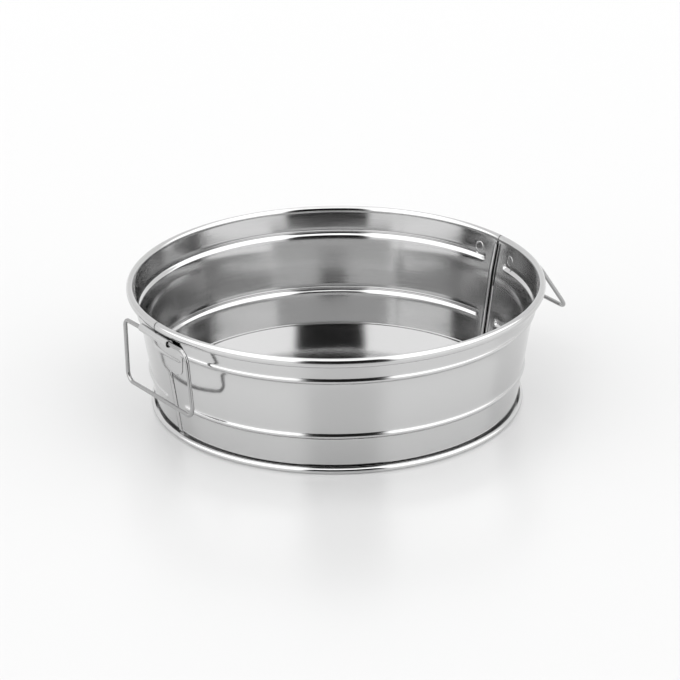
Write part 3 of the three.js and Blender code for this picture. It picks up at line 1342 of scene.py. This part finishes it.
@dataclass
class Handle:
    """One length of wire bent to a drop handle, both ends in the ear's barrel.

    Attributes:
        pivot: The handle's axis.
        side: Which end of the X axis it is at.
        out: Degrees out from hanging straight down.
        skew: Degrees that it hangs askew in its barrel.
        slide: How far it has slid along its barrel.
        half_top: From the middle to where each leg leaves the barrel's line, first and second end.
        corner_top: Radius of the bend there, first and second end.
        radius: Half the wire's thickness.
        drop: From the pivot to the middle of the grip.
        half_grip: From the middle to where each leg meets the grip's line.
        corner_grip: Radius of the bend there.
        stub: From the barrel's middle to each end of the wire.
        segment: The longest straight step along the wire.
    """

    pivot: Vector
    side: Side
    out: float
    skew: float
    slide: float
    half_top: Point
    corner_top: Point
    radius: float = 1.5 * MM
    drop: float = 46 * MM
    half_grip: float = 45 * MM
    corner_grip: float = 7 * MM
    stub: float = 8 * MM
    segment: float = 3 * MM

    @classmethod
    def at_rest(cls, side: Side, pivot: Vector) -> "Handle":
        """Makes one side's handle as it hangs at rest.

        Args:
            side: Which handle.
            pivot: Its axis.

        Returns:
            The handle.
        """
        near, far = 39.6 * MM, 44.6 * MM
        wide_bend, tight_bend = 9 * MM, 5 * MM
        if side is Side.RIGHT:
            return cls(pivot, side, 32.2, 0.0, -2 * MM, (far, near), (tight_bend, wide_bend))
        return cls(pivot, side, 0.0, 2.2, 2 * MM, (near, far), (wide_bend, tight_bend))

    def corner(
        self, before: Vector, here: Vector, after: Vector, radius: float, count: int = 14
    ) -> list[Vector]:
        """Rounds a corner with an arc that is tangent to both of its sides.

        Args:
            before: The corner before it.
            here: The corner.
            after: The corner after it.
            radius: The arc's radius.
            count: How many points.

        Returns:
            The arc's points.
        """
        back = (before - here).normalized()
        on = (after - here).normalized()
        half = back.angle(on) / 2
        reach = radius / math.tan(half)
        middle = here + (back + on).normalized() * (radius / math.sin(half))
        first = here + back * reach - middle
        last = here + on * reach - middle
        sweep = math.atan2(first.x * last.y - first.y * last.x, first.dot(last))
        arms = [Matrix.Rotation(sweep * i / (count - 1), 2) @ first for i in range(count)]
        return [middle + arm for arm in arms]

    def path(self) -> list[Vector]:
        """Follows the wire's middle line in the handle's own plane.

        Returns:
            Its points, as (across, drop).
        """
        bends = []
        for end, half_top, radius in zip((1, -1), self.half_top, self.corner_top):
            start = Vector((end * self.stub, 0))
            top = Vector((end * half_top, 0))
            grip = Vector((end * self.half_grip, self.drop))
            middle = Vector((0, self.drop))
            bend = [start, *self.corner(start, top, grip, radius)]
            bends.append(bend + self.corner(top, grip, middle, self.corner_grip))
        line = bends[0] + bends[1][::-1]
        places = []
        for here, there in zip(line, line[1:]):
            count = max(1, int((there - here).length / self.segment))
            places += [here.lerp(there, i / count) for i in range(count)]
        return [*places, line[-1]]

    def dress(self, piece: bpy.types.Object) -> None:
        """Gives the handle its body, and lets it stand for its CAD node.

        Args:
            piece: The handle.
        """
        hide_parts(f"handle_{self.side.label}")
        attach(piece, f"handle_{self.side.label}")

    def build(self, tree: bpy.types.NodeTree, finish: bpy.types.Material) -> list[bpy.types.Object]:
        """Builds and dresses the handle.

        Args:
            tree: The tree that turns a line of edges into wire.
            finish: The wire's material.

        Returns:
            The piece, in a list.
        """
        lean = math.radians(self.out)
        askew = Matrix.Rotation(-math.radians(self.skew), 2)
        places = []
        for point in self.path():
            turned = askew @ point
            places.append(
                (
                    self.pivot.x + turned.y * math.sin(lean),
                    turned.x + self.slide,
                    self.pivot.z - turned.y * math.cos(lean),
                )
            )
        edges = [(i, i + 1) for i in range(len(places) - 1)]
        piece = mesh_object(f"handle_{self.side.label}_wire", places, [], edges)
        run_tree(piece, tree, {"Radius": self.radius, "Sides": 32, "Material": finish})
        piece.data.transform(self.side.turn)
        tidy_mesh(piece, crease=50)
        self.dress(piece)
        return [piece]


# ---------- studio ----------


@dataclass
class Studio:
    """Camera, pale floor and a white light tent whose front opening is dark.

    Angles are in degrees. Bearings are counted from the camera's side, heights from the horizon.

    Attributes:
        azimuth: The camera's bearing.
        elevation: The camera's height.
        distance: From the target to the camera.
        target: What the camera looks at.
        lens: Focal length in millimetres.
        roll: The camera's tilt about its own axis.
        shift: The lens's shift.
        opening_left: Bearing where the tent's opening begins.
        opening_right: Bearing where it ends.
        opening_low: Height where it begins.
        opening_high: Height where it ends.
        opening_soft: Half the width of the soft edge between light and dark.
        tent: Brightness of the tent's wall.
        ceiling: Brightness overhead.
        ceiling_rise: Heights between which the wall passes into the ceiling.
        box: Brightness of the two side boxes.
        box_low: Height where they begin.
        box_high: Height where they end.
        box_near: From the opening's middle to their near edges.
        box_far: From the opening's middle to their far edges.
        zenith: Brightness straight overhead, where the tent is gathered.
        zenith_rise: Heights between which the ceiling passes into the zenith.
        dark: Brightness of the opening.
        painted_floor_glow: Painted light: how strongly the table glows, though it is no lamp, which lifts
            the shade around the tub.
        table: From the middle of the table to its edges.
        card_near: From the tub's axis to the dark card's near edge.
        card_far: From the tub's axis to its far edge.
    """

    azimuth: float = -33.3
    elevation: float = 22.93
    distance: float = 1.9517
    target: Vector = field(default_factory=lambda: Vector((0, 0, 0.045)))
    lens: float = 143.0
    roll: float = -0.58
    shift: Point = (0.00518, -0.0036)
    opening_left: float = -19.0
    opening_right: float = 28.0
    opening_low: float = -9.0
    opening_high: float = 54.0
    opening_soft: float = 2.2
    tent: float = 1.0
    ceiling: float = 2.4
    ceiling_rise: Point = (48.0, 66.0)
    box: float = 2.1
    box_low: float = 9.0
    box_high: float = 64.0
    box_near: float = 25.0
    box_far: float = 112.0
    zenith: float = 1.15
    zenith_rise: Point = (72.0, 79.0)
    dark: float = 0.015
    painted_floor_glow: float = 0.16
    table: float = 6.0
    card_near: float = 0.62
    card_far: float = 4.0

    def build_camera(self) -> None:
        """Places the camera at its viewing angle."""
        turn, rise = math.radians(self.azimuth), math.radians(self.elevation)
        level = math.cos(rise)
        back = Vector((math.sin(turn) * level, -math.cos(turn) * level, math.sin(rise)))
        data = bpy.data.cameras.new("camera")
        data.lens = self.lens
        data.sensor_width = 36
        data.shift_x, data.shift_y = self.shift
        data.clip_end = 50
        camera = bpy.data.objects.new("camera", data)
        tilt = Matrix.Rotation(math.radians(self.roll), 4, "Z")
        spin = back.to_track_quat("Z", "Y").to_matrix().to_4x4() @ tilt
        camera.matrix_world = Matrix.Translation(self.target + back * self.distance) @ spin
        bpy.context.scene.collection.objects.link(camera)
        bpy.context.scene.camera = camera

    def build_floor(self) -> None:
        """Lays the pale, slightly glossy floor."""
        far = self.table
        corners = [(-far, -far, 0), (far, -far, 0), (far, far, 0), (-far, far, 0)]
        floor = mesh_object("floor", corners, [(0, 1, 2, 3)])
        # White acrylic, polished: it mirrors the tub faintly. Its emission is painted light: the table
        # glows though it is no lamp, which lifts the shade near the tub.
        material = bpy.data.materials.new("white_acrylic_table")
        material.use_nodes = True
        shader = material.node_tree.nodes["Principled BSDF"]
        shader.inputs["Base Color"].default_value = linear("#B8B8B8")
        shader.inputs["Roughness"].default_value = 0.28
        shader.inputs["IOR"].default_value = 2.0
        # Painted light: a faint glow over the whole table that lifts its shadows.
        shader.inputs["Emission Color"].default_value = linear("#FFFFFF")
        shader.inputs["Emission Strength"].default_value = self.painted_floor_glow
        floor.data.materials.append(material)

    def build_painted_reflection(self) -> None:
        """Lays a dark sheet just above the table on the camera's side, which only mirrors see: a painted
        reflection that stands in for the shade near the camera where the tub mirrors the table.
        """
        left, right = self.opening_left, self.opening_right
        near, far = self.card_near, self.card_far
        corners = []
        for bearing, reach in ((left, near), (left, far), (right, far), (right, near)):
            angle = math.radians(self.azimuth) + math.radians(bearing)
            corners.append((math.sin(angle) * reach, -math.cos(angle) * reach, 2 * MM))
        card = mesh_object("painted_reflection_sheet", corners, [(0, 1, 2, 3)])
        # Painted reflection: a near-black, matt sheet that only mirrors see.
        material = bpy.data.materials.new("painted_dark_reflection")
        material.use_nodes = True
        shader = material.node_tree.nodes["Principled BSDF"]
        shader.inputs["Base Color"].default_value = linear("#141414")
        shader.inputs["Roughness"].default_value = 0.9
        card.data.materials.append(material)
        # Painted reflection: hidden from the camera, from diffuse light and from shadows, so it only
        # darkens what the tub's mirrors show.
        card.visible_camera = False
        card.visible_diffuse = False
        card.visible_shadow = False

    def build_tent(self) -> None:
        """Makes the world: white walls, brighter overhead, and the dark opening towards the camera."""
        world = bpy.data.worlds.new("light_tent")
        world.use_nodes = True
        bpy.context.scene.world = world
        tree = world.node_tree
        where = add_node(tree, "ShaderNodeTexCoord").outputs["Generated"]
        turn = math.radians(self.azimuth)
        towards = add_node(
            tree,
            "ShaderNodeVectorMath",
            {0: where, 1: (math.sin(turn), -math.cos(turn), 0)},
            operation="DOT_PRODUCT",
        )
        across = add_node(
            tree,
            "ShaderNodeVectorMath",
            {0: where, 1: (math.cos(turn), math.sin(turn), 0)},
            operation="DOT_PRODUCT",
        )
        bearing = maths(tree, "ARCTAN2", across.outputs["Value"], towards.outputs["Value"])
        up = add_node(tree, "ShaderNodeSeparateXYZ", {0: where}).outputs["Z"]
        rise = maths(tree, "ARCSINE", up)
        soft = math.radians(self.opening_soft)

        def between(value: Socket, low: float, high: float) -> Socket:
            """Adds a soft-edged band.

            Args:
                value: The angle that is measured.
                low: Where the band begins, in degrees.
                high: Where it ends.

            Returns:
                1 inside the band and 0 outside it.
            """
            low, high = math.radians(low), math.radians(high)
            enter = fade(tree, value, low - soft, low + soft)
            leave = fade(tree, value, high - soft, high + soft)
            return maths(tree, "MULTIPLY", enter, maths(tree, "SUBTRACT", 1.0, leave))

        opening = maths(
            tree,
            "MULTIPLY",
            between(bearing, self.opening_left, self.opening_right),
            between(rise, self.opening_low, self.opening_high),
        )
        overhead = fade(tree, rise, *map(math.radians, self.ceiling_rise))
        extra = maths(tree, "MULTIPLY", overhead, self.ceiling - self.tent)
        lit = maths(tree, "ADD", extra, self.tent)
        middle = math.radians((self.opening_left + self.opening_right) / 2)
        off = maths(tree, "ABSOLUTE", maths(tree, "SUBTRACT", bearing, middle))
        beside = between(off, self.box_near, self.box_far)
        boxes = maths(tree, "MULTIPLY", beside, between(rise, self.box_low, self.box_high))
        lit = maths(tree, "MAXIMUM", lit, maths(tree, "MULTIPLY", boxes, self.box))
        cap = fade(tree, rise, *map(math.radians, self.zenith_rise))
        lit = maths(
            tree,
            "ADD",
            maths(tree, "MULTIPLY", lit, maths(tree, "SUBTRACT", 1.0, cap)),
            maths(tree, "MULTIPLY", cap, self.zenith),
        )
        shut = maths(tree, "SUBTRACT", 1.0, opening)
        strength = maths(tree, "ADD", maths(tree, "MULTIPLY", lit, shut), self.dark)
        back = tree.nodes["Background"]
        back.inputs["Color"].default_value = linear("#FFFFFF")
        tree.links.new(strength, back.inputs["Strength"])

    def build(self) -> None:
        """Builds the camera, the floor and the tent, and keeps colours as they are lit."""
        self.build_camera()
        self.build_floor()
        self.build_painted_reflection()
        self.build_tent()
        scene = bpy.context.scene
        scene.view_settings.view_transform = "Standard"
        scene.cycles.glossy_bounces = 12


# ---------- the whole tub ----------


def pivots(frame: dict) -> dict[Side, Vector]:
    """Finds each handle's pivot in the record.

    Args:
        frame: What the frame holds.

    Returns:
        Each side's pivot, turned to the right side's place.
    """
    found = {}
    for joint in frame["joints"]:
        place = Vector(joint["pos_m"])
        side = Side.RIGHT if place.x > 0 else Side.LEFT
        found[side] = side.turn @ place
    return found


def main() -> None:
    """Builds every class in order and reports each piece's face count."""
    logging.basicConfig(level=logging.INFO, format="%(message)s")
    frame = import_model()
    Studio().build()
    sizes = TubSizes.from_frame()
    tree = round_the_axis()
    sheet = MIRROR_SHEET.material()
    built = Wall(sizes).build(tree, sheet) + Base(sizes).build(tree)
    strip = BRIGHT_STRIP.material()
    wire = DRAWN_WIRE.material()
    wire_tree = wire_along_path()
    for side, pivot in pivots(frame).items():
        built += Ear(sizes, pivot, side).build(strip)
        built += SpotWelds(sizes, side).build(sheet)
        built += Handle.at_rest(side, pivot).build(wire_tree, wire)
    # The rim's core wire is hidden, so it keeps its CAD shape and only gets its finish.
    core = frame["nodes"]["rim_wire"]
    core.data.materials.clear()
    core.data.materials.append(CORE_WIRE.material())
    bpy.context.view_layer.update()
    for piece in [core, *built]:
        LOG.info("%s: %d faces", piece.name, len(piece.data.polygons))


if __name__ == "__main__":
    main()
